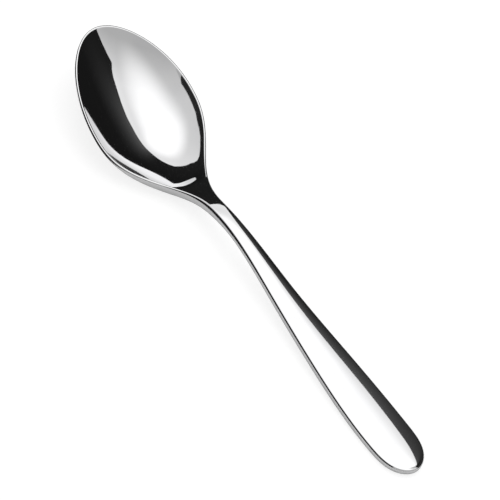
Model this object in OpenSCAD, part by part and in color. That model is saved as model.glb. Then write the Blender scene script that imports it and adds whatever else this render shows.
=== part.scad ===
// Soup spoon of polished stainless steel, pressed and forged from one blank.
// Its three regions are separate solids that meet face to face at two cross-sections.
// X runs from the tip of the bowl to the end of the handle, Y is across, and Z points up.
// The origin is on the table, under the middle of the spoon's length.

/* [Overall] */
// Length from the tip of the bowl to the end of the handle
spoon_l = 200; // [192:1:215]

/* [Bowl] */
// Length of the bowl, from its tip to the cut at the neck
bowl_l = 66; // [62:1:69]
// Width across the rim
bowl_w = 45.8; // [40:0.2:48]
// Distance from the tip to the widest place
widest_at = 34.5; // [31:0.5:38]
// Depth of the hollow under the rim
hollow_d = 7.7; // [6.5:0.2:8.9]
// Width of the flat lip round the hollow
lip_w = 0.65; // [0.6:0.05:0.9]
// Rounding of the lip's outer edges
edge_r = 0.45; // [0.3:0.05:0.5]
// Height of the lip's outer side
lip_h = 1.4; // [1.3:0.1:1.8]
// Wall under the deepest place of the hollow
belly_t = 1.7; // [1.4:0.1:2.4]

/* [Neck] */
// Length of the neck between its two cuts
neck_l = 32; // [26:1:36]
// Distance from the tip to the narrowest place
narrow_at = 82; // [79:0.5:85]
// Width at the narrowest place
neck_w = 6.5; // [5.6:0.1:7.6]
// Height of the neck's sides
neck_t = 4; // [3.2:0.1:4.6]
// Depth of the keel under the root of the neck
keel_d = 2.4; // [1:0.1:3]
// Distance from the tip to the deepest place of the keel
keel_at = 71.5; // [68:0.5:74]
// Length of the keel to either side of that place
keel_l = 20; // [14:1:24]
// Rounding of the neck's long edges
neck_edge_r = 1.2; // [0.8:0.1:1.4]

/* [Handle] */
// Width of the handle at its broadest place
handle_w = 18.6; // [16:0.2:21]
// Length of the rounded end, from the broadest place
end_l = 20; // [16:0.5:24]
// Height of the handle's sides
handle_t = 2.9; // [2.2:0.1:3.4]
// Rise of the crown across the upper face
crown_h = 0.68; // [0.4:0.02:0.9]
// Radius of the crown across the underside
under_r = 200; // [120:10:300]
// Rounding of the handle's edges
handle_edge_r = 0.9; // [0.6:0.1:1]

/* [Side profile] */
// Height of the rim at the tip of the bowl
tip_h = 22.1; // [19:0.1:24]
// Distance from the tip to the fore part of the rim
fore_at = 32; // [29:0.5:35]
// Height of the fore part of the rim
fore_h = 13.2; // [12:0.1:14.4]
// Distance from the tip to the lowest place of the rim
sweep_at = 60; // [57:0.5:62]
// Height of the lowest place of the rim
sweep_h = 7.1; // [6.3:0.1:7.9]
// Distance from the tip to the top of the arch
arch_at = 80; // [77:0.5:83]
// Height of the top of the arch
arch_h = 11.4; // [10.4:0.1:12.6]
// Height of the upper part of the handle
slope_h = 8.6; // [7.8:0.1:9.4]
// Height of the lower part of the handle
run_h = 4.9; // [4.3:0.1:5.5]
// Distance from the handle's end to the place that rests on the table
rest_back = 16; // [13:0.5:19]
// Height of the upper edge at the handle's end
end_h = 3.6; // [3:0.1:4.2]

/* [Hidden] */

// Rows of faces along each region, columns across, and steps round an edge
bowl_rows = 34;
neck_rows = 14;
handle_rows = 36;
columns = 22;
edge_steps = 3;

// Where the rows stop bending round each end, as a share of its length
corner_share = 0.22;
// How the bowl narrows to the neck
shoulder_start_share = 2.4;
shoulder_fall_share = 3.6;
// How the handle widens from the neck
widen_start_share = 1.9;
widen_fall_share = 2;
// How much the bowl's fore part is slimmer than half an ellipse
nose_taper_share = 0.105;
// How much the handle's end is fuller than half an ellipse, and how much of that goes towards its tip
end_full_share = 0.48;
end_taper_share = 0.27;
// Where the crown has its full rise, from the neck to the place that rests
crown_full_share = 0.14;
// Where the upper and lower parts of the handle's profile lie, from the neck to the place that rests
slope_share = 0.23;
run_share = 0.6;
// How fast the dish gets shallower as the bowl narrows to the neck
shoulder_depth_share = 1.68;
// How much deeper the dish lies under its rim at the tip
fore_deep_share = 0.15;
// Where the hollow starts and stops dying out, from the widest place to the narrowest
hollow_fade_share = 0.585;
hollow_end_share = 0.69;
// Where the belly starts dying out, from the widest place to the narrowest
belly_fade_share = 0.5;

handle_from = bowl_l + neck_l;
full_at = spoon_l - end_l;
rest_at = spoon_l - rest_back;
slope_at = handle_from + slope_share * (rest_at - handle_from);
run_at = handle_from + run_share * (rest_at - handle_from);
crown_full_at = handle_from + crown_full_share * (rest_at - handle_from);
tip_corner = widest_at * corner_share;
end_corner = spoon_l - end_l * corner_share;
hollow_fade_at = widest_at + (narrow_at - widest_at) * hollow_fade_share;
hollow_end_at = widest_at + (narrow_at - widest_at) * hollow_end_share;
belly_fade_at = widest_at + (narrow_at - widest_at) * belly_fade_share;
belly_d = hollow_d + belly_t - lip_h;
rest_h = handle_t + pow(handle_w / 2, 2) / (2 * under_r);
slope_step = edge_r / 10;

// Upper edge of the spoon, seen from the side: distance from the tip, then height
profile = [
    [0, tip_h],
    [fore_at, fore_h],
    [sweep_at, sweep_h],
    [arch_at, arch_h],
    [slope_at, slope_h],
    [run_at, run_h],
    [rest_at, rest_h],
    [spoon_l, end_h]
];

// Natural cubic spline through stations, by one sweep down and one back
function gap(s, i) = s[i + 1][0] - s[i][0];
function grade(s, i) = (s[i + 1][1] - s[i][1]) / gap(s, i);
function sweep_down(s, i, last) =
    i > len(s) - 2 ? [] :
    let (pivot = 2 * (gap(s, i - 1) + gap(s, i)) - gap(s, i - 1) * last[0])
    let (load = 6 * (grade(s, i) - grade(s, i - 1)) - gap(s, i - 1) * last[1])
    let (next = [gap(s, i) / pivot, load / pivot])
    concat([next], sweep_down(s, i + 1, next));
function sweep_back(swept, i, after) =
    i < 0 ? [] :
    let (here = swept[i][1] - swept[i][0] * after)
    concat(sweep_back(swept, i - 1, here), [here]);
function spline_bends(s) =
    let (swept = sweep_down(s, 1, [0, 0]))
    concat([0], sweep_back(swept, len(swept) - 1, 0), [0]);
function spline_at(s, bends, x) =
    let (i = max([for (k = [0 : len(s) - 2]) if (k == 0 || s[k][0] <= x) k]))
    let (b = (x - s[i][0]) / gap(s, i))
    let (a = 1 - b)
    a * s[i][1] + b * s[i + 1][1]
        + ((pow(a, 3) - a) * bends[i] + (pow(b, 3) - b) * bends[i + 1]) * pow(gap(s, i), 2) / 6;

// A rise from 0 to 1 between two places, level at both
function ease(x, from, to) =
    let (t = min(1, max(0, (x - from) / (to - from))))
    pow(t, 3) * (10 - 15 * t + 6 * pow(t, 2));

// Half of the outer width at a distance from the tip
function shoulder(x) =
    let (s = (x - widest_at) / (narrow_at - widest_at))
    neck_w / 2 + (bowl_w - neck_w) / 2 * pow(1 - pow(s, shoulder_start_share), shoulder_fall_share);
function widening(x) =
    let (s = (x - narrow_at) / (full_at - narrow_at))
    neck_w / 2 + (handle_w - neck_w) / 2 * (1 - pow(1 - pow(s, widen_start_share), widen_fall_share));
function side_w(x) = x < narrow_at ? shoulder(max(x, widest_at)) : widening(min(x, full_at));
function side_lean(x) = (side_w(x + slope_step) - side_w(x - slope_step)) / (2 * slope_step);

// Fullness of the bowl's fore part and of the handle's end, from 0 where they are widest to 1 at the tips
function nose(s) = 1 - nose_taper_share * pow(s, 2);
function heel(s) = 1 + end_full_share * pow(s, 2) - end_taper_share * pow(s, 4);
function arc(s) = sqrt(max(0, 1 - pow(s, 2)));

// Half of the width of the outline drawn in by an inset
function half_w(x, inset) =
    let (fore = (widest_at - x) / (widest_at - inset))
    let (aft = (x - full_at) / (end_l - inset))
    fore >= 0 ? (bowl_w / 2 - inset) * arc(fore) * nose(fore)
    : aft < 0 ? side_w(x) - inset * sqrt(1 + pow(side_lean(x), 2))
    : (handle_w / 2 - inset) * arc(aft) * heel(aft);

// Places round the two tips of that outline, by a share from -1 to 1 of the way round
function round_tip(share, inset) =
    let (turn = share * acos((widest_at - tip_corner) / (widest_at - inset)))
    [
        widest_at - (widest_at - inset) * cos(turn),
        (bowl_w / 2 - inset) * sin(turn) * nose(cos(turn))
    ];
function round_end(share, inset) =
    let (turn = share * acos((end_corner - full_at) / (end_l - inset)))
    [
        full_at + (end_l - inset) * cos(turn),
        (handle_w / 2 - inset) * sin(turn) * heel(cos(turn))
    ];

// Heights along the spoon
profile_bends = spline_bends(profile);
function edge_h(x) = spline_at(profile, profile_bends, x);
function side_h(x) =
    lip_h + (neck_t - lip_h) * ease(x, widest_at, keel_at)
        - (neck_t - handle_t) * ease(x, keel_at, handle_from);
function rounding(x) =
    edge_r + (neck_edge_r - edge_r) * ease(x, sweep_at, narrow_at)
        - (neck_edge_r - handle_edge_r) * ease(x, narrow_at, slope_at);
function keel(x) = keel_d * pow(max(0, 1 - pow((x - keel_at) / keel_l, 2)), 2);
function hollow_left(x) = 1 - ease(x, hollow_fade_at, hollow_end_at);
function belly_left(x) = 1 - ease(x, belly_fade_at, narrow_at);
function crown_grown(x) = ease(x, keel_at, crown_full_at);
function crown_rise(w) = crown_h * (1 - pow(1 - w / (handle_w / 2), 3));

// A crown across a width, from 0 at its sides to 1 in the middle
function crown(y, w) = max(0, 1 - pow(y / max(w, slope_step), 2));

// Depth of a dish inside the outline drawn in by an inset, from 0 at its rim to 1 where it is widest
function dish(x, y, inset) =
    let (w = half_w(x, inset))
    let (deeper = 1 + fore_deep_share * pow(max(0, 1 - x / widest_at), 2))
    deeper * crown(y, w) * pow(w / (bowl_w / 2 - inset), x < widest_at ? 2 : shoulder_depth_share);

function top_z(x, y) =
    edge_h(x)
        - hollow_left(x) * hollow_d * dish(x, y, lip_w)
        + crown_grown(x) * crown_rise(half_w(x, rounding(x))) * crown(y, half_w(x, rounding(x)));
function under_z(x, y) =
    let (w = half_w(x, rounding(x)))
    edge_h(x) - side_h(x)
        - belly_left(x) * belly_d * dish(x, y, rounding(x))
        - (keel(x) + crown_grown(x) * pow(w, 2) / (2 * under_r)) * crown(y, w);

// Lowest place of the underside, which stands on the table
stand_z = -min([for (x = [sweep_at / 2 : edge_r : rest_at + rest_back / 2]) under_z(x, 0)]);

// The spoon is one sheet of rows and columns, and its rows bend round both ends
all_rows = bowl_rows + neck_rows + handle_rows;
function row_x(i) =
    i <= bowl_rows
        ? tip_corner + (bowl_l - tip_corner) * i / bowl_rows
    : i <= bowl_rows + neck_rows
        ? bowl_l + neck_l * (i - bowl_rows) / neck_rows
    : handle_from + (end_corner - handle_from) * (i - bowl_rows - neck_rows) / handle_rows;
function tip_bend(x) = pow(max(0, 1 - (x - tip_corner) / (widest_at - tip_corner)), 2);
function end_bend(x) = pow(max(0, 1 - (end_corner - x) / (end_corner - run_at)), 2);

// Place in plan of a row and a column, on the outline drawn in by an inset
function in_plan(i, j, inset) =
    let (x = row_x(i))
    let (across = 1 - 2 * j / columns)
    let (tip = round_tip(across, inset))
    let (end = round_end(across, inset))
    let (at_tip = tip_bend(x))
    let (at_end = end_bend(x))
    [
        x + at_tip * (tip[0] - tip_corner) + at_end * (end[0] - end_corner),
        half_w(x, inset) * (
            (1 - at_tip - at_end) * across
                + at_tip * tip[1] / half_w(tip_corner, inset)
                + at_end * end[1] / half_w(end_corner, inset)
        )
    ];
function placed(p, z) = [p[0] - spoon_l / 2, p[1], z + stand_z];

function top_point(i, j) =
    let (p = in_plan(i, j, lip_w + rounding(row_x(i)) - edge_r))
    placed(p, top_z(p[0], p[1]));
function under_point(i, j) =
    let (p = in_plan(i, j, rounding(row_x(i))))
    placed(p, under_z(p[0], p[1]));

// Round the edge: the upper corner's arc, then the lower corner's
function edge_point(i, j, k) =
    let (r = rounding(row_x(i)))
    let (upper = k <= edge_steps)
    let (turn = 90 * (upper ? k : 2 * edge_steps + 1 - k) / edge_steps)
    let (p = in_plan(i, j, r * (1 - sin(turn))))
    let (down = r * (1 - cos(turn)))
    placed(p, upper ? edge_h(p[0]) - down : edge_h(p[0]) - side_h(p[0]) + down);
edge_points = 2 * edge_steps + 1;

// Faces of a strip between two runs of points, each four-cornered place as two triangles
function strip(a, b) =
    [for (n = [0 : len(a) - 2]) each [[a[n], b[n], b[n + 1]], [a[n], b[n + 1], a[n + 1]]]];

// A flat face over a run of points that bulges outwards all along
function fan(run) = [for (n = [1 : len(run) - 2]) [run[0], run[n], run[n + 1]]];
function reversed(run) = [for (n = [len(run) - 1 : -1 : 0]) run[n]];

// One region of the spoon between two rows.
// Its edge is closed round the bowl's tip or the handle's end, and its cuts are flat.
module region(first, last) {
    at_tip = first == 0;
    at_end = last == all_rows;
    width = columns + 1;
    grid = (last - first + 1) * width;

    // The edge follows one path round an end, or one along each side between two cuts
    left = [for (i = [last : -1 : first]) [i, 0]];
    right = [for (i = [first : last]) [i, columns]];
    tip = at_tip ? [for (j = [1 : columns - 1]) [first, j]] : [];
    end = at_end ? [for (j = [columns - 1 : -1 : 1]) [last, j]] : [];
    paths = at_tip ? [concat(left, tip, right)] : at_end ? [concat(right, end, left)] : [left, right];
    starts = [0, len(paths[0]) * edge_points];

    function top_id(i, j) = (i - first) * width + j;
    function under_id(i, j) = grid + top_id(i, j);
    function top_row(i) = [for (j = [0 : columns]) top_id(i, j)];
    function under_row(i) = [for (j = [0 : columns]) under_id(i, j)];
    function edge_run(path, n) =
        let (p = paths[path][n])
        let (from = 2 * grid + starts[path] + n * edge_points)
        concat([top_id(p[0], p[1])], [for (k = [0 : edge_points - 1]) from + k], [under_id(p[0], p[1])]);

    sheet = [first : last];
    points = concat(
        [for (i = sheet) for (j = [0 : columns]) top_point(i, j)],
        [for (i = sheet) for (j = [0 : columns]) under_point(i, j)],
        [for (path = paths) for (p = path) for (k = [0 : edge_points - 1]) edge_point(p[0], p[1], k)]
    );
    skins = [for (i = [first : last - 1])
        each concat(strip(top_row(i), top_row(i + 1)), strip(under_row(i + 1), under_row(i)))];
    edges = [for (c = [0 : len(paths) - 1]) for (n = [0 : len(paths[c]) - 2])
        each strip(edge_run(c, n), edge_run(c, n + 1))];

    // The run of edge points at each end of a cut
    other = len(paths) - 1;
    final = len(paths[other]) - 1;
    front_left = edge_run(0, 0);
    front_right = edge_run(other, final);
    back_left = edge_run(0, at_end ? final : len(left) - 1);
    back_right = edge_run(other, 0);
    back_cut = at_tip ? [] : concat(
        strip(under_row(first), top_row(first)),
        fan(reversed(back_left)),
        fan(back_right)
    );
    front_cut = at_end ? [] : concat(
        strip(top_row(last), under_row(last)),
        fan(front_left),
        fan(reversed(front_right))
    );
    polyhedron(points = points, faces = concat(skins, edges, back_cut, front_cut));
}

module bowl() {
    color("silver") region(0, bowl_rows);
}

module neck() {
    color("darkgray") region(bowl_rows, bowl_rows + neck_rows);
}

module handle() {
    color("gainsboro") region(bowl_rows + neck_rows, all_rows);
}

bowl();
neck();
handle();
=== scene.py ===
"""A soup spoon of polished stainless steel: its looks, its studio and the camera.

The spoon is shaped as one seamless sheet of rows and columns and then parted
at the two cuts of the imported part, so its bowl, neck and handle are separate
pieces with no seam in their shine. Sizes are in millimetres until they are placed.
"""

import math

import bmesh
import bpy
from mathutils import Matrix, Vector


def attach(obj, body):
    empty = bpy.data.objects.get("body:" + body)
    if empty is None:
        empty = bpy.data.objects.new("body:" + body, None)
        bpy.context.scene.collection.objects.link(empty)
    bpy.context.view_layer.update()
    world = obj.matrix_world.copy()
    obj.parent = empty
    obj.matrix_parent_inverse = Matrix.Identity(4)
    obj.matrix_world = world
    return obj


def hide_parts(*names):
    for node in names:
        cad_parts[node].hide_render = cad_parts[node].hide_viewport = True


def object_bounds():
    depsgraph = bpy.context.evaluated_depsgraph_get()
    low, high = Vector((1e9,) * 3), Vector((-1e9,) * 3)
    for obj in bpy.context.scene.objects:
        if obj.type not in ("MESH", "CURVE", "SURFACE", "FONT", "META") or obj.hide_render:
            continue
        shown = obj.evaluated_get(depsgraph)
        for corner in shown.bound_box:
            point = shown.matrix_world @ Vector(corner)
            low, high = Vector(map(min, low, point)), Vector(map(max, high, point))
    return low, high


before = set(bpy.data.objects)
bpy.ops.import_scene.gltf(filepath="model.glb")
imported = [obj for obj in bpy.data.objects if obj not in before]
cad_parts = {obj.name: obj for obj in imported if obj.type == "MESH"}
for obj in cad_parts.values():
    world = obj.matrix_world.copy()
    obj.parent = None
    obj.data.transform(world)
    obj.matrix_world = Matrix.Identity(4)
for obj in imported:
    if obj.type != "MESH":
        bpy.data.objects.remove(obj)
cad_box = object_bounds()

MM = 0.001

# Sizes of the spoon, the same as the part's
SPOON_L = 200.0
BOWL_L = 66.0
BOWL_W = 45.8
WIDEST_AT = 34.5
HOLLOW_D = 7.7
LIP_W = 0.65
EDGE_R = 0.45
LIP_H = 1.4
BELLY_T = 1.7
NECK_L = 32.0
NARROW_AT = 82.0
NECK_W = 6.5
NECK_T = 4.0
KEEL_D = 2.4
KEEL_AT = 71.5
KEEL_L = 20.0
NECK_EDGE_R = 1.2
HANDLE_W = 18.6
END_L = 20.0
HANDLE_T = 2.9
CROWN_H = 0.68
UNDER_R = 200.0
HANDLE_EDGE_R = 0.9
TIP_H = 22.1
FORE_AT = 32.0
FORE_H = 13.2
SWEEP_AT = 60.0
SWEEP_H = 7.1
ARCH_AT = 80.0
ARCH_H = 11.4
SLOPE_H = 8.6
RUN_H = 4.9
REST_BACK = 16.0
END_H = 3.6

# Shares that shape the outline, the hollow and the handle, the same as the part's
CORNER_SHARE = 0.22
SHOULDER_START_SHARE = 2.4
SHOULDER_FALL_SHARE = 3.6
WIDEN_START_SHARE = 1.9
WIDEN_FALL_SHARE = 2.0
NOSE_TAPER_SHARE = 0.105
END_FULL_SHARE = 0.48
END_TAPER_SHARE = 0.27
CROWN_FULL_SHARE = 0.14
SLOPE_SHARE = 0.23
RUN_SHARE = 0.6
SHOULDER_DEPTH_SHARE = 1.68
FORE_DEEP_SHARE = 0.15
HOLLOW_FADE_SHARE = 0.585
HOLLOW_END_SHARE = 0.69
BELLY_FADE_SHARE = 0.5

# How soft the hollow's edge is, as a share of its depth
LIP_SOFT_SHARE = 0.003

# Rows along each region, columns across, and steps round an edge
BOWL_ROWS = 96
NECK_ROWS = 44
HANDLE_ROWS = 110
COLUMNS = 72
ROUND_STEPS = 4
COLUMN_SPREAD = math.radians(81)
ROW_CROWDING = 0.8

# Places and sizes that follow from the ones above
HANDLE_FROM = BOWL_L + NECK_L
FULL_AT = SPOON_L - END_L
REST_AT = SPOON_L - REST_BACK
SLOPE_AT = HANDLE_FROM + SLOPE_SHARE * (REST_AT - HANDLE_FROM)
RUN_AT = HANDLE_FROM + RUN_SHARE * (REST_AT - HANDLE_FROM)
CROWN_FULL_AT = HANDLE_FROM + CROWN_FULL_SHARE * (REST_AT - HANDLE_FROM)
TIP_CORNER = WIDEST_AT * CORNER_SHARE
END_CORNER = SPOON_L - END_L * CORNER_SHARE
HOLLOW_FADE_AT = WIDEST_AT + (NARROW_AT - WIDEST_AT) * HOLLOW_FADE_SHARE
HOLLOW_END_AT = WIDEST_AT + (NARROW_AT - WIDEST_AT) * HOLLOW_END_SHARE
BELLY_FADE_AT = WIDEST_AT + (NARROW_AT - WIDEST_AT) * BELLY_FADE_SHARE
BELLY_D = HOLLOW_D + BELLY_T - LIP_H
REST_H = HANDLE_T + (HANDLE_W / 2) ** 2 / (2 * UNDER_R)
SLOPE_STEP = EDGE_R / 10
LEVELS = 2 * ROUND_STEPS + 1
ALL_ROWS = BOWL_ROWS + NECK_ROWS + HANDLE_ROWS

# Side profile of the upper edge: distance from the tip, and height
PROFILE = [
    (0.0, TIP_H),
    (FORE_AT, FORE_H),
    (SWEEP_AT, SWEEP_H),
    (ARCH_AT, ARCH_H),
    (SLOPE_AT, SLOPE_H),
    (RUN_AT, RUN_H),
    (REST_AT, REST_H),
    (SPOON_L, END_H),
]

# Colours and fine detail of the polished steel
WHITE = (1.0, 1.0, 1.0, 1.0)
CLEAN_STEEL = (0.875, 0.875, 0.88, 1.0)
SMUDGED_STEEL = (0.835, 0.835, 0.845, 1.0)
LINES_DETAIL = 3.0
LINES_ROUGHNESS = 0.6
SMUDGE_DETAIL = 4.0
SMUDGE_SWIRL = 0.6
SMUDGE_FROM = 0.42
SMUDGE_FULL = 0.72
SCRATCH_SCALE = 260.0
SCRATCH_WIDTH = 0.012
RELIEF_DEPTH = 0.000002

# Finish of each piece: how fine its polishing lines are along and across, and their turn,
# how fine its smudges are, how rough it is, and how strongly its lines and scratches stand out
FINISHES = {
    "bowl_steel": (60.0, 900.0, 0.5, 70.0, 0.02, 0.25),
    "neck_steel": (50.0, 1500.0, 0.0, 90.0, 0.018, 0.2),
    "handle_steel": (30.0, 1800.0, 0.0, 50.0, 0.02, 0.25),
}

# The studio is a softbox overhead, with black curtains round three sides and grey cards at the fourth
STUDIO_H = 3.0
SOFTBOX_REACH = 2.6 * STUDIO_H
# The softbox is brightest in an oval, and gets duller away from it, forwards and towards the handle's end
GLOW_X = -0.1 * STUDIO_H
GLOW_Y = 0.21 * STUDIO_H
GLOW_TURN = math.radians(-16.0)
GLOW_LONG_R = 0.88 * STUDIO_H
GLOW_WIDE_R = 0.6 * STUDIO_H
GLOW_CORE_SHARE = 0.5
GLOW_FADE_SHARE = 1.05
GLOW_CORE = 1.2
GLOW_FAR = 0.47
GLOW_SLANT = -0.286
GLOW_DULL_FROM = 0.36 * STUDIO_H
GLOW_DULL_TO = 0.75 * STUDIO_H
GLOW_FRONT_Y = -0.5 * STUDIO_H
GLOW_BACK_Y = 0.8 * STUDIO_H
GLOW_FRONT_LIFT = 0.2
GLOW_BACK_LIFT = 0.42

# The curtains glow with painted light, as if they caught some light near the softbox, and most of it level
# with the middle of the spoon
CURTAIN_LIFT_FROM = 0.35 * STUDIO_H
CURTAIN_LIFT_POWER = 1.7
CURTAIN_LIT_X = 0.1 * STUDIO_H
CURTAIN_DIM_X = 0.7 * STUDIO_H
CURTAIN_DIM_SHARE = 0.05
BACK_LOW = 0.009
BACK_HIGH = 0.095
FRONT_LOW = 0.013
FRONT_HIGH = 0.024
GREY_LEVEL = 0.43
CLOTH_LEVEL = 0.014

# Paths of the black curtains on the floor, and of the grey cards beyond their ends, in studio heights
FRONT_PATH = (
    (0.335, -0.628), (0.315, -0.608), (0.277, -0.615), (0.231, -0.618), (0.15, -0.61), (0.028, -0.599),
    (-0.178, -0.574), (-0.387, -0.521), (-0.635, -0.471), (-0.87, -0.392), (-1.056, -0.285),
    (-1.177, -0.185), (-1.273, -0.066), (-1.303, 0.057),
)
TIP_PATH = (
    (-1.303, 0.057), (-1.274, 0.164), (-1.22, 0.27), (-1.211, 0.418), (-1.179, 0.598), (-1.139, 0.762),
    (-1.015, 0.835), (-0.84, 0.861), (-0.622, 0.855),
)
BACK_PATH = ((-0.622, 0.855), (-0.388, 0.847), (0.0, 0.868), (0.1, 0.878))
BEND_PATH = (
    (0.1, 0.878), (0.242, 0.886), (0.306, 0.892), (0.363, 0.867), (0.42, 0.84), (0.477, 0.8),
    (0.533, 0.768), (0.59, 0.741), (0.641, 0.682), (0.658, 0.642), (0.68, 0.595), (0.702, 0.603),
    (0.736, 0.634), (0.778, 0.652), (0.822, 0.681), (0.861, 0.696), (0.92, 0.72),
)
FAR_PATH = ((0.92, 0.72), (2.4, 1.1), (2.4, -1.1), (0.335, -0.628))

# A grey sheet lies under the spoon, and black cloths past its front and tip sides
SHEET_TONE = (0.55, 0.55, 0.55, 1.0)
SHEET_FRONT_Y = -0.0268
SHEET_TIP_X = -0.1012
CLOTH_REACH = 0.8
SHEET_Z = -0.00001
CLOTH_Z = 0.0001

# The white floor, how strongly the room lights what is matt, and the lamp
FLOOR_TONE = (0.25, 0.25, 0.25, 1.0)
FLOOR_GLOW = 0.8
FLOOR_REACH = 12.0
FLOOR_Z = -0.00003
ROOM_LIGHT = 0.72
LAMP_SIZE = 1.2
LAMP_POWER = 9.0
LAMP_AT = (-0.25, 0.3, 1.4)

# The photograph's viewpoint: the turn round the spoon from +X, the height above the table and the tilt
VIEW_TURN = math.radians(-59.14)
VIEW_RISE = math.radians(53.817)
VIEW_TILT = math.radians(25.073)
VIEW_DISTANCE = 2.0
# Pixels to a metre, and where the point at this height over the origin lies in the picture
VIEW_SCALE = 2793.7
AIM_Z = 8 * MM
VIEW_CENTRE = Vector((250.35, 252.97))
FRAME_PX = 500
SENSOR = 36.0
VIEW_END = 100.0


def profile_bends(stations):
    """Second derivatives of the natural cubic spline through the stations."""
    swept = [(0.0, 0.0)]
    for i in range(1, len(stations) - 1):
        before = stations[i][0] - stations[i - 1][0]
        after = stations[i + 1][0] - stations[i][0]
        rise_before = (stations[i][1] - stations[i - 1][1]) / before
        rise_after = (stations[i + 1][1] - stations[i][1]) / after
        pivot = 2 * (before + after) - before * swept[-1][0]
        load = 6 * (rise_after - rise_before) - before * swept[-1][1]
        swept.append((after / pivot, load / pivot))
    bends = [0.0]
    for share, load in reversed(swept[1:]):
        bends.insert(0, load - share * bends[0])
    return [0.0] + bends


BENDS = profile_bends(PROFILE)


def edge_h(x):
    """Height of the spoon's upper edge."""
    i = 0
    while i < len(PROFILE) - 2 and PROFILE[i + 1][0] <= x:
        i += 1
    gap = PROFILE[i + 1][0] - PROFILE[i][0]
    passed = (x - PROFILE[i][0]) / gap
    left = 1 - passed
    bend = (left**3 - left) * BENDS[i] + (passed**3 - passed) * BENDS[i + 1]
    return left * PROFILE[i][1] + passed * PROFILE[i + 1][1] + bend * gap**2 / 6


def ease(x, start, stop):
    """A rise from 0 to 1 between two places, level and unbent at both."""
    share = min(1.0, max(0.0, (x - start) / (stop - start)))
    return share**3 * (10 - 15 * share + 6 * share**2)


def nose(share):
    """How much the bowl's oval narrows towards its tip."""
    return 1 - NOSE_TAPER_SHARE * share**2


def heel(share):
    """How much the handle's oval is fuller and then narrows towards its end."""
    return 1 + END_FULL_SHARE * share**2 - END_TAPER_SHARE * share**4


def arc(share):
    """Height of a circle's arc at a share of its radius."""
    return math.sqrt(max(0.0, 1 - share**2))


def side_w(x):
    """Half of the width between the widest place of the bowl and that of the handle."""
    if x < NARROW_AT:
        share = (max(x, WIDEST_AT) - WIDEST_AT) / (NARROW_AT - WIDEST_AT)
        left = (1 - share**SHOULDER_START_SHARE) ** SHOULDER_FALL_SHARE
        return NECK_W / 2 + (BOWL_W - NECK_W) / 2 * left
    share = (min(x, FULL_AT) - NARROW_AT) / (FULL_AT - NARROW_AT)
    grown = 1 - (1 - share**WIDEN_START_SHARE) ** WIDEN_FALL_SHARE
    return NECK_W / 2 + (HANDLE_W - NECK_W) / 2 * grown


def half_w(x, inset):
    """Half of the width of the outline drawn in by an inset."""
    fore = (WIDEST_AT - x) / (WIDEST_AT - inset)
    aft = (x - FULL_AT) / (END_L - inset)
    if fore >= 0:
        return (BOWL_W / 2 - inset) * arc(fore) * nose(fore)
    if aft >= 0:
        return (HANDLE_W / 2 - inset) * arc(aft) * heel(aft)
    lean = (side_w(x + SLOPE_STEP) - side_w(x - SLOPE_STEP)) / (2 * SLOPE_STEP)
    return side_w(x) - inset * math.sqrt(1 + lean**2)


def crown(y, half):
    """A rounded hill across the spoon: 1 on its middle line and 0 at half of the width."""
    return max(0.0, 1 - (y / max(half, SLOPE_STEP)) ** 2)


def side_h(x):
    """Height of the side wall."""
    thicker = (NECK_T - LIP_H) * ease(x, WIDEST_AT, KEEL_AT)
    return LIP_H + thicker - (NECK_T - HANDLE_T) * ease(x, KEEL_AT, HANDLE_FROM)


def rounding(x):
    """Radius of the rounded edges."""
    grown = (NECK_EDGE_R - EDGE_R) * ease(x, SWEEP_AT, NARROW_AT)
    return EDGE_R + grown - (NECK_EDGE_R - HANDLE_EDGE_R) * ease(x, NARROW_AT, SLOPE_AT)


def keel(x):
    """Depth of the keel under the neck."""
    return KEEL_D * max(0.0, 1 - ((x - KEEL_AT) / KEEL_L) ** 2) ** 2


def hollow_left(x):
    """Share of the hollow that is left, from 1 in the bowl to 0 at its root."""
    return 1 - ease(x, HOLLOW_FADE_AT, HOLLOW_END_AT)


def belly_left(x):
    """Share of the belly that is left, from 1 in the bowl to 0 at the narrowest place of the neck."""
    return 1 - ease(x, BELLY_FADE_AT, NARROW_AT)


def crown_grown(x):
    """Share of the handle's crown that has risen."""
    return ease(x, KEEL_AT, CROWN_FULL_AT)


def dish(x, y, inset):
    """Depth of a dish inside the drawn-in outline: 0 at its rim and outside, 1 where it is widest."""
    half = half_w(x, inset)
    deeper = 1 + FORE_DEEP_SHARE * max(0.0, 1 - x / WIDEST_AT) ** 2
    power = 2 if x < WIDEST_AT else SHOULDER_DEPTH_SHARE
    return deeper * crown(y, half) * (max(half, 0.0) / (BOWL_W / 2 - inset)) ** power


def top_z(x, y):
    """Height of the upper face, with a soft edge between the lip and the hollow."""
    depth = dish(x, y, LIP_W)
    half = half_w(x, rounding(x))
    hollow = hollow_left(x) * HOLLOW_D * depth**2 / (depth + LIP_SOFT_SHARE)
    full = 1 - (1 - max(0.0, half) / (HANDLE_W / 2)) ** 3
    return edge_h(x) - hollow + crown_grown(x) * CROWN_H * full * crown(y, half)


def under_z(x, y):
    """Height of the underside."""
    radius = rounding(x)
    half = half_w(x, radius)
    bulge = belly_left(x) * BELLY_D * dish(x, y, radius)
    ridge = keel(x) + crown_grown(x) * half**2 / (2 * UNDER_R)
    return edge_h(x) - side_h(x) - bulge - ridge * crown(y, half)


def lowest_under():
    """Lowest place of the underside, which stands on the table."""
    steps = int((REST_AT + REST_BACK / 2 - SWEEP_AT / 2) / EDGE_R)
    return min(under_z(SWEEP_AT / 2 + i * EDGE_R, 0.0) for i in range(steps + 1))


STAND_Z = -lowest_under()


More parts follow.
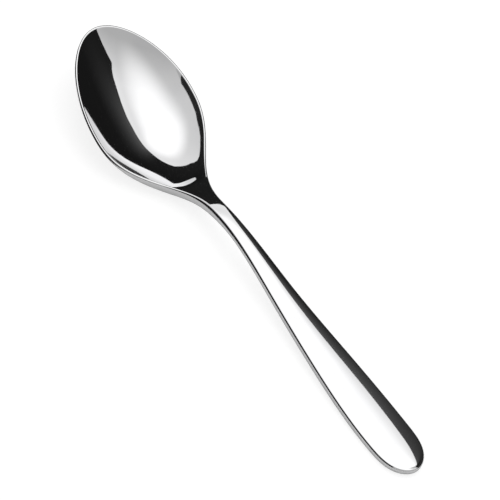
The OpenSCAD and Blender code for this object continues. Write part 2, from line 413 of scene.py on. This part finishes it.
def row_x(i):
    """Distance of a row from the tip. Rows crowd towards the tip and towards the end."""
    if i <= BOWL_ROWS:
        share = i / BOWL_ROWS
        share = share - ROW_CROWDING * share * (1 - share)
        return TIP_CORNER + (BOWL_L - TIP_CORNER) * share
    if i <= BOWL_ROWS + NECK_ROWS:
        return BOWL_L + NECK_L * (i - BOWL_ROWS) / NECK_ROWS
    share = (i - BOWL_ROWS - NECK_ROWS) / HANDLE_ROWS
    share = share + ROW_CROWDING * share * (1 - share)
    return HANDLE_FROM + (END_CORNER - HANDLE_FROM) * share


def round_tip(share, inset):
    """Place on the outline round the bowl's tip."""
    turn = share * math.acos((WIDEST_AT - TIP_CORNER) / (WIDEST_AT - inset))
    fore = math.cos(turn)
    return WIDEST_AT - (WIDEST_AT - inset) * fore, (BOWL_W / 2 - inset) * math.sin(turn) * nose(fore)


def round_end(share, inset):
    """Place on the outline round the handle's end."""
    turn = share * math.acos((END_CORNER - FULL_AT) / (END_L - inset))
    aft = math.cos(turn)
    return FULL_AT + (END_L - inset) * aft, (HANDLE_W / 2 - inset) * math.sin(turn) * heel(aft)


def in_plan(i, j, inset):
    """Place of a row and a column seen from above, on the outline drawn in by an inset."""
    x = row_x(i)
    across = math.sin((1 - 2 * j / COLUMNS) * COLUMN_SPREAD) / math.sin(COLUMN_SPREAD)
    tip = round_tip(across, inset)
    end = round_end(across, inset)
    at_tip = max(0.0, 1 - (x - TIP_CORNER) / (WIDEST_AT - TIP_CORNER)) ** 2
    at_end = max(0.0, 1 - (END_CORNER - x) / (END_CORNER - RUN_AT)) ** 2
    wide = (1 - at_tip - at_end) * across
    wide += at_tip * tip[1] / half_w(TIP_CORNER, inset)
    wide += at_end * end[1] / half_w(END_CORNER, inset)
    bent = x + at_tip * (tip[0] - TIP_CORNER) + at_end * (end[0] - END_CORNER)
    return bent, half_w(x, inset) * wide


def forged(i, j, level):
    """Place of a point of the blank once it is forged, in metres."""
    radius = rounding(row_x(i))
    if level in (0, LEVELS):
        x, y = in_plan(i, j, radius)
        z = top_z(x, y) if level == 0 else under_z(x, y)
    elif level <= ROUND_STEPS:
        turn = math.pi / 2 * level / ROUND_STEPS
        x, y = in_plan(i, j, radius * (1 - math.sin(turn)))
        z = edge_h(x) - radius * (1 - math.cos(turn))
    else:
        turn = math.pi / 2 * (LEVELS - level) / ROUND_STEPS
        x, y = in_plan(i, j, radius * (1 - math.sin(turn)))
        z = edge_h(x) - side_h(x) + radius * (1 - math.cos(turn))
    return Vector((x - SPOON_L / 2, y, z + STAND_Z)) * MM


def draw_inside(skin, box):
    """Draw the skin in by the hair that the part's flat facets lie inside the true curves."""
    for axis in range(3):
        places = [vert.co[axis] for vert in skin.verts]
        low = min(places)
        reach = max(places) - low
        for vert in skin.verts:
            share = (vert.co[axis] - low) / reach
            vert.co[axis] = box[0][axis] + share * (box[1][axis] - box[0][axis])


def forge_spoon():
    """The whole spoon as one closed skin, with the row and the smooth normal of each point kept."""
    skin = bmesh.new()
    bmesh.ops.create_grid(skin, x_segments=ALL_ROWS, y_segments=COLUMNS, size=0.5)
    for vert in skin.verts:
        vert.co = Vector((round((vert.co.x + 0.5) * ALL_ROWS), round((vert.co.y + 0.5) * COLUMNS), 0))
    raised = bmesh.ops.extrude_face_region(skin, geom=skin.faces[:], use_keep_orig=True)
    for item in raised["geom"]:
        if isinstance(item, bmesh.types.BMVert):
            item.co.z = LEVELS
    uprights = [edge for edge in skin.edges if abs(edge.verts[0].co.z - edge.verts[1].co.z) > 0.5]
    bmesh.ops.subdivide_edges(skin, edges=uprights, cuts=LEVELS - 1, use_grid_fill=True)
    row = skin.verts.layers.float.new("row")
    for vert in skin.verts:
        i, j, level = (round(place) for place in vert.co)
        vert[row] = i
        vert.co = forged(i, j, level)
    draw_inside(skin, cad_box)
    bmesh.ops.recalc_face_normals(skin, faces=skin.faces)
    skin.normal_update()
    smooth = skin.verts.layers.float_vector.new("smooth")
    for vert in skin.verts:
        vert[smooth] = vert.normal
    return skin


def part_region(skin, name, first, last, material):
    """One region of the spoon between two rows, closed at its cuts, as a piece of its own."""
    region = skin.copy()
    row = region.verts.layers.float["row"]
    smooth = region.verts.layers.float_vector["smooth"]
    outside = [face for face in region.faces if not all(first <= vert[row] <= last for vert in face.verts)]
    bmesh.ops.delete(region, geom=outside, context="FACES")
    for face in region.faces:
        face.smooth = True
    rims = [edge for edge in region.edges if edge.is_boundary]
    caps = bmesh.ops.holes_fill(region, edges=rims, sides=0)["faces"]
    for face in caps:
        face.smooth = False
    region.normal_update()
    corners = []
    for face in region.faces:
        for vert in face.verts:
            corners.append(Vector(vert[smooth]) if face.smooth else face.normal.copy())
    mesh = bpy.data.meshes.new(name)
    region.to_mesh(mesh)
    region.free()
    mesh.normals_split_custom_set(corners)
    piece = bpy.data.objects.new(name, mesh)
    bpy.context.scene.collection.objects.link(piece)
    mesh.materials.append(material)
    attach(piece, "root")
    return piece


def math_node(tree, operation):
    """A new math node of a node tree."""
    node = tree.nodes.new("ShaderNodeMath")
    node.operation = operation
    return node


def range_node(tree, source, low, high, at_low=0.0, at_high=1.0, smooth=False):
    """A node whose value goes from one level to another while its source goes from low to high."""
    node = tree.nodes.new("ShaderNodeMapRange")
    if smooth:
        node.interpolation_type = "SMOOTHSTEP"
    node.inputs["From Min"].default_value = low
    node.inputs["From Max"].default_value = high
    node.inputs["To Min"].default_value = at_low
    node.inputs["To Max"].default_value = at_high
    tree.links.new(source, node.inputs["Value"])
    return node


def new_group(name, inputs, outputs):
    """A shader node group with named inputs and outputs, and its two end nodes."""
    group = bpy.data.node_groups.new(name, "ShaderNodeTree")
    for label in inputs:
        group.interface.new_socket(label, in_out="INPUT", socket_type="NodeSocketFloat")
    for label in outputs:
        group.interface.new_socket(label, in_out="OUTPUT", socket_type="NodeSocketFloat")
    return group, group.nodes.new("NodeGroupInput"), group.nodes.new("NodeGroupOutput")


def make_polish_group():
    """Fine lines that a polishing wheel leaves along a direction."""
    group, given, made = new_group("polishing_lines", ("Along", "Across", "Turn"), ("Lines",))
    nodes = group.nodes
    link = group.links.new
    place = nodes.new("ShaderNodeTexCoord")
    spun = nodes.new("ShaderNodeVectorRotate")
    spun.rotation_type = "Z_AXIS"
    link(place.outputs["Object"], spun.inputs["Vector"])
    link(given.outputs["Turn"], spun.inputs["Angle"])
    scale = nodes.new("ShaderNodeCombineXYZ")
    link(given.outputs["Along"], scale.inputs["X"])
    link(given.outputs["Across"], scale.inputs["Y"])
    link(given.outputs["Across"], scale.inputs["Z"])
    stretched = nodes.new("ShaderNodeVectorMath")
    stretched.operation = "MULTIPLY"
    link(spun.outputs["Vector"], stretched.inputs[0])
    link(scale.outputs["Vector"], stretched.inputs[1])
    noise = nodes.new("ShaderNodeTexNoise")
    noise.inputs["Scale"].default_value = 1.0
    noise.inputs["Detail"].default_value = LINES_DETAIL
    noise.inputs["Roughness"].default_value = LINES_ROUGHNESS
    link(stretched.outputs["Vector"], noise.inputs["Vector"])
    link(noise.outputs["Fac"], made.inputs["Lines"])
    return group


def make_wear_group():
    """Soft smudges and sparse hairline scratches of use, as two masks."""
    group, given, made = new_group(
        "marks_of_use", ("Smudge Scale", "Scratch Scale", "Scratch Width"), ("Smudges", "Scratches")
    )
    nodes = group.nodes
    link = group.links.new
    place = nodes.new("ShaderNodeTexCoord")
    smudge = nodes.new("ShaderNodeTexNoise")
    smudge.inputs["Detail"].default_value = SMUDGE_DETAIL
    smudge.inputs["Distortion"].default_value = SMUDGE_SWIRL
    link(place.outputs["Object"], smudge.inputs["Vector"])
    link(given.outputs["Smudge Scale"], smudge.inputs["Scale"])
    lifted = range_node(group, smudge.outputs["Fac"], SMUDGE_FROM, SMUDGE_FULL)
    link(lifted.outputs["Result"], made.inputs["Smudges"])
    cells = nodes.new("ShaderNodeTexVoronoi")
    cells.feature = "DISTANCE_TO_EDGE"
    link(place.outputs["Object"], cells.inputs["Vector"])
    link(given.outputs["Scratch Scale"], cells.inputs["Scale"])
    hair = range_node(group, cells.outputs["Distance"], 0.0, SCRATCH_WIDTH, 1.0, 0.0)
    link(given.outputs["Scratch Width"], hair.inputs["From Max"])
    sparse = math_node(group, "MULTIPLY")
    link(hair.outputs["Result"], sparse.inputs[0])
    link(lifted.outputs["Result"], sparse.inputs[1])
    link(sparse.outputs["Value"], made.inputs["Scratches"])
    return group


def polished_steel(name, polish, wear):
    """Mirror-polished stainless steel with its own lines and marks."""
    along, across, turn, smudge_scale, rough, bump = FINISHES[name]
    material = bpy.data.materials.new(name)
    material.use_nodes = True
    tree = material.node_tree
    link = tree.links.new
    steel = tree.nodes["Principled BSDF"]
    steel.inputs["Metallic"].default_value = 1.0
    lines = tree.nodes.new("ShaderNodeGroup")
    lines.node_tree = polish
    lines.inputs["Along"].default_value = along
    lines.inputs["Across"].default_value = across
    lines.inputs["Turn"].default_value = turn
    marks = tree.nodes.new("ShaderNodeGroup")
    marks.node_tree = wear
    marks.inputs["Smudge Scale"].default_value = smudge_scale
    marks.inputs["Scratch Scale"].default_value = SCRATCH_SCALE
    marks.inputs["Scratch Width"].default_value = SCRATCH_WIDTH
    tint = tree.nodes.new("ShaderNodeMix")
    tint.data_type = "RGBA"
    tint.inputs["A"].default_value = CLEAN_STEEL
    tint.inputs["B"].default_value = SMUDGED_STEEL
    link(marks.outputs["Smudges"], tint.inputs["Factor"])
    link(tint.outputs["Result"], steel.inputs["Base Color"])
    dulled = math_node(tree, "MULTIPLY_ADD")
    dulled.inputs[1].default_value = rough
    dulled.inputs[2].default_value = rough
    link(marks.outputs["Smudges"], dulled.inputs[0])
    lined = math_node(tree, "MULTIPLY_ADD")
    lined.inputs[1].default_value = rough
    link(lines.outputs["Lines"], lined.inputs[0])
    link(dulled.outputs["Value"], lined.inputs[2])
    link(lined.outputs["Value"], steel.inputs["Roughness"])
    height = math_node(tree, "SUBTRACT")
    link(lines.outputs["Lines"], height.inputs[0])
    link(marks.outputs["Scratches"], height.inputs[1])
    relief = tree.nodes.new("ShaderNodeBump")
    relief.inputs["Strength"].default_value = bump
    relief.inputs["Distance"].default_value = RELIEF_DEPTH
    link(height.outputs["Value"], relief.inputs["Height"])
    link(relief.outputs["Normal"], steel.inputs["Normal"])
    return material


polish = make_polish_group()
wear = make_wear_group()
bowl_steel = polished_steel("bowl_steel", polish, wear)
neck_steel = polished_steel("neck_steel", polish, wear)
handle_steel = polished_steel("handle_steel", polish, wear)

skin = forge_spoon()
bowl = part_region(skin, "bowl_shell", 0, BOWL_ROWS, bowl_steel)
neck = part_region(skin, "neck_arch", BOWL_ROWS, BOWL_ROWS + NECK_ROWS, neck_steel)
handle = part_region(skin, "handle_grip", BOWL_ROWS + NECK_ROWS, ALL_ROWS, handle_steel)
skin.free()
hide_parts("bowl")
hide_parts("neck")
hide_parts("handle")


def staged(name, sheet, material):
    """A card or backdrop of the studio made from a finished sheet."""
    mesh = bpy.data.meshes.new(name)
    sheet.to_mesh(mesh)
    sheet.free()
    mesh.materials.append(material)
    card = bpy.data.objects.new(name, mesh)
    bpy.context.scene.collection.objects.link(card)
    return card


def plain_card(name, corner, along, up, material):
    """A flat card of the studio from one corner along its two sides."""
    along = Vector(along)
    up = Vector(up)
    middle = Vector(corner) + (along + up) / 2
    turn = Matrix((along, up, along.cross(up).normalized())).transposed()
    sheet = bmesh.new()
    bmesh.ops.create_grid(sheet, x_segments=1, y_segments=1, size=0.5)
    bmesh.ops.transform(sheet, verts=sheet.verts, matrix=Matrix.Translation(middle) @ turn.to_4x4())
    return staged(name, sheet, material)


def curtain(name, path, material):
    """A standing card that follows a path of points on the floor, in shares of the studio's height."""
    sheet = bmesh.new()
    last = sheet.verts.new((path[0][0] * STUDIO_H, path[0][1] * STUDIO_H, 0.0))
    for place in path[1:]:
        last = bmesh.ops.extrude_vert_indiv(sheet, verts=[last])["verts"][0]
        last.co = (place[0] * STUDIO_H, place[1] * STUDIO_H, 0.0)
    new = bmesh.ops.extrude_edge_only(sheet, edges=sheet.edges[:])
    raised = [item for item in new["geom"] if isinstance(item, bmesh.types.BMVert)]
    bmesh.ops.translate(sheet, verts=raised, vec=(0.0, 0.0, STUDIO_H))
    return staged(name, sheet, material)


def only_in_reflections(card):
    """The card shows in polished metal, and neither to the camera nor in the light on the floor."""
    card.visible_camera = False
    card.visible_diffuse = False
    card.visible_shadow = False
    card.visible_transmission = False


def glow_material(name, strength):
    """A material that only glows, in white light of one strength."""
    material = bpy.data.materials.new(name)
    material.use_nodes = True
    nodes = material.node_tree.nodes
    nodes.remove(nodes["Principled BSDF"])
    glow = nodes.new("ShaderNodeEmission")
    glow.inputs["Color"].default_value = WHITE
    glow.inputs["Strength"].default_value = strength
    material.node_tree.links.new(glow.outputs["Emission"], nodes["Material Output"].inputs["Surface"])
    return material


def softbox_material():
    """A glow that is brightest in an oval over the spoon, and duller forwards and towards the handle."""
    material = glow_material("softbox_glow", 1.0)
    tree = material.node_tree
    link = tree.links.new
    place = tree.nodes.new("ShaderNodeTexCoord")
    laid = tree.nodes.new("ShaderNodeMapping")
    laid.vector_type = "TEXTURE"
    laid.inputs["Location"].default_value = (GLOW_X, GLOW_Y, STUDIO_H)
    laid.inputs["Rotation"].default_value = (0.0, 0.0, GLOW_TURN)
    laid.inputs["Scale"].default_value = (GLOW_LONG_R, GLOW_WIDE_R, STUDIO_H)
    link(place.outputs["Object"], laid.inputs["Vector"])
    reach = tree.nodes.new("ShaderNodeVectorMath")
    reach.operation = "LENGTH"
    link(laid.outputs["Vector"], reach.inputs[0])
    fade = range_node(tree, reach.outputs["Value"], GLOW_CORE_SHARE, GLOW_FADE_SHARE, smooth=True)
    sides = tree.nodes.new("ShaderNodeSeparateXYZ")
    link(place.outputs["Object"], sides.inputs["Vector"])
    slanted = math_node(tree, "MULTIPLY_ADD")
    slanted.inputs[1].default_value = GLOW_SLANT
    link(sides.outputs["Y"], slanted.inputs[0])
    link(sides.outputs["X"], slanted.inputs[2])
    near = range_node(tree, slanted.outputs["Value"], GLOW_DULL_FROM, GLOW_DULL_TO, 1.0, 0.0)
    deep = range_node(tree, sides.outputs["Y"], GLOW_FRONT_Y, GLOW_BACK_Y, GLOW_FRONT_LIFT, GLOW_BACK_LIFT)
    tone = math_node(tree, "MULTIPLY_ADD")
    tone.inputs[2].default_value = GLOW_FAR
    link(near.outputs["Result"], tone.inputs[0])
    link(deep.outputs["Result"], tone.inputs[1])
    blend = tree.nodes.new("ShaderNodeMix")
    blend.inputs["A"].default_value = GLOW_CORE
    link(fade.outputs["Result"], blend.inputs["Factor"])
    link(tone.outputs["Value"], blend.inputs["B"])
    link(blend.outputs["Result"], tree.nodes["Emission"].inputs["Strength"])
    return material


def painted_light_curtain(name, low, high):
    """Black cloth with painted light: a glow that rises near the softbox, and is less towards its far
    sides.
    """
    material = glow_material(name, low)
    tree = material.node_tree
    link = tree.links.new
    place = tree.nodes.new("ShaderNodeTexCoord")
    sides = tree.nodes.new("ShaderNodeSeparateXYZ")
    link(place.outputs["Object"], sides.inputs["Vector"])
    lift = range_node(tree, sides.outputs["Z"], CURTAIN_LIFT_FROM, STUDIO_H)
    bend = math_node(tree, "POWER")
    bend.inputs[1].default_value = CURTAIN_LIFT_POWER
    link(lift.outputs["Result"], bend.inputs[0])
    aside = math_node(tree, "ABSOLUTE")
    link(sides.outputs["X"], aside.inputs[0])
    most = high - low
    least = CURTAIN_DIM_SHARE * most
    apart = aside.outputs["Value"]
    facing = range_node(tree, apart, CURTAIN_LIT_X, CURTAIN_DIM_X, most, least, smooth=True)
    # Painted light on the black cloth: the glow grows upwards and towards the middle
    level = math_node(tree, "MULTIPLY_ADD")
    level.inputs[2].default_value = low
    link(bend.outputs["Value"], level.inputs[0])
    link(facing.outputs["Result"], level.inputs[1])
    link(level.outputs["Value"], tree.nodes["Emission"].inputs["Strength"])
    return material


def matt_material(name, tone):
    """Matt paint or paper without any shine."""
    material = bpy.data.materials.new(name)
    material.use_nodes = True
    paint = material.node_tree.nodes["Principled BSDF"]
    paint.inputs["Base Color"].default_value = tone
    paint.inputs["Roughness"].default_value = 1.0
    paint.inputs["Specular IOR Level"].default_value = 0.0
    return material


def plainly_seen(tree):
    """A value of 1 for what the camera sees, straight or by way of metal or glass, and 0 otherwise."""
    path = tree.nodes.new("ShaderNodeLightPath")
    seen = math_node(tree, "MAXIMUM")
    tree.links.new(path.outputs["Is Camera Ray"], seen.inputs[0])
    tree.links.new(path.outputs["Is Glossy Ray"], seen.inputs[1])
    also = math_node(tree, "MAXIMUM")
    tree.links.new(seen.outputs["Value"], also.inputs[0])
    tree.links.new(path.outputs["Is Transmission Ray"], also.inputs[1])
    return also.outputs["Value"]


def floor_material():
    """Matt white that glows where it is plainly seen, and is seen only from above."""
    material = matt_material("floor_white", FLOOR_TONE)
    tree = material.node_tree
    link = tree.links.new
    paint = tree.nodes["Principled BSDF"]
    paint.inputs["Emission Color"].default_value = WHITE
    lift = math_node(tree, "MULTIPLY")
    lift.inputs[1].default_value = FLOOR_GLOW
    link(plainly_seen(tree), lift.inputs[0])
    link(lift.outputs["Value"], paint.inputs["Emission Strength"])
    clear = tree.nodes.new("ShaderNodeBsdfTransparent")
    side = tree.nodes.new("ShaderNodeNewGeometry")
    choice = tree.nodes.new("ShaderNodeMixShader")
    link(side.outputs["Backfacing"], choice.inputs["Fac"])
    link(paint.outputs["BSDF"], choice.inputs[1])
    link(clear.outputs["BSDF"], choice.inputs[2])
    link(choice.outputs["Shader"], tree.nodes["Material Output"].inputs["Surface"])
    return material


softbox_glow = softbox_material()
# Black curtains whose glow is painted light from the softbox
back_curtain_painted_light = painted_light_curtain("back_flag_painted_light", BACK_LOW, BACK_HIGH)
front_curtain_painted_light = painted_light_curtain("front_flag_painted_light", FRONT_LOW, FRONT_HIGH)
card_grey = glow_material("card_grey", GREY_LEVEL)
cloth_black = glow_material("cloth_black", CLOTH_LEVEL)
sheet_grey = matt_material("sheet_grey", SHEET_TONE)

softbox_corner = (-SOFTBOX_REACH, -SOFTBOX_REACH, STUDIO_H)
softbox_along = (2 * SOFTBOX_REACH, 0.0, 0.0)
softbox_up = (0.0, 2 * SOFTBOX_REACH, 0.0)
sheet_corner = (SHEET_TIP_X, SHEET_FRONT_Y, SHEET_Z)
front_corner = (-CLOTH_REACH, SHEET_FRONT_Y, CLOTH_Z)
tip_corner = (SHEET_TIP_X, SHEET_FRONT_Y, CLOTH_Z)
away = (0.0, CLOTH_REACH, 0.0)
nearer = (0.0, -CLOTH_REACH, 0.0)
cards = [
    plain_card("softbox", softbox_corner, softbox_along, softbox_up, softbox_glow),
    curtain("front_curtain", FRONT_PATH, front_curtain_painted_light),
    curtain("tip_curtain", TIP_PATH, back_curtain_painted_light),
    curtain("back_curtain", BACK_PATH, back_curtain_painted_light),
    curtain("back_bend", BEND_PATH, back_curtain_painted_light),
    curtain("far_cards", FAR_PATH, card_grey),
    plain_card("grey_sheet", sheet_corner, (CLOTH_REACH, 0.0, 0.0), away, sheet_grey),
    plain_card("front_cloth", front_corner, (2 * CLOTH_REACH, 0.0, 0.0), nearer, cloth_black),
    plain_card("tip_cloth", tip_corner, (-CLOTH_REACH, 0.0, 0.0), away, cloth_black),
]
for card in cards:
    only_in_reflections(card)

floor_corner = (-FLOOR_REACH, -FLOOR_REACH, FLOOR_Z)
floor_along = (2 * FLOOR_REACH, 0.0, 0.0)
floor_up = (0.0, 2 * FLOOR_REACH, 0.0)
plain_card("floor", floor_corner, floor_along, floor_up, floor_material())

# The room is white to the eye and in metal, and lights the floor a little less than that
world = bpy.data.worlds.new("white_room")
bpy.context.scene.world = world
world.use_nodes = True
sky = world.node_tree.nodes["Background"]
sky.inputs["Color"].default_value = WHITE
room = range_node(world.node_tree, plainly_seen(world.node_tree), 0.0, 1.0, ROOM_LIGHT, 1.0)
world.node_tree.links.new(room.outputs["Result"], sky.inputs["Strength"])

lamp_data = bpy.data.lights.new("overhead_lamp", "AREA")
lamp_data.shape = "SQUARE"
lamp_data.size = LAMP_SIZE
lamp_data.energy = LAMP_POWER
lamp = bpy.data.objects.new("overhead_lamp", lamp_data)
lamp.location = LAMP_AT
lamp.rotation_euler = (-lamp.location).to_track_quat("-Z", "Y").to_euler()
lamp.visible_glossy = False
bpy.context.scene.collection.objects.link(lamp)

level_back = Vector((math.cos(VIEW_TURN), math.sin(VIEW_TURN), 0))
back = level_back * math.cos(VIEW_RISE) + Vector((0, 0, math.sin(VIEW_RISE)))
level_right = Vector((0, 0, 1)).cross(back).normalized()
level_up = back.cross(level_right)
right = math.cos(VIEW_TILT) * level_right + math.sin(VIEW_TILT) * level_up
up = math.cos(VIEW_TILT) * level_up - math.sin(VIEW_TILT) * level_right
aim = Vector((0, 0, AIM_Z))
aim -= right * (VIEW_CENTRE.x - FRAME_PX / 2) / VIEW_SCALE
aim += up * (VIEW_CENTRE.y - FRAME_PX / 2) / VIEW_SCALE
camera_data = bpy.data.cameras.new("camera")
camera_data.sensor_width = SENSOR
camera_data.lens = VIEW_SCALE * VIEW_DISTANCE * SENSOR / FRAME_PX
camera_data.clip_end = VIEW_END
camera = bpy.data.objects.new("camera", camera_data)
camera_turn = Matrix((right, up, back)).transposed().to_4x4()
camera.matrix_world = Matrix.Translation(aim + back * VIEW_DISTANCE) @ camera_turn
bpy.context.scene.collection.objects.link(camera)
bpy.context.scene.camera = camera

bpy.context.scene.view_settings.view_transform = "Standard"
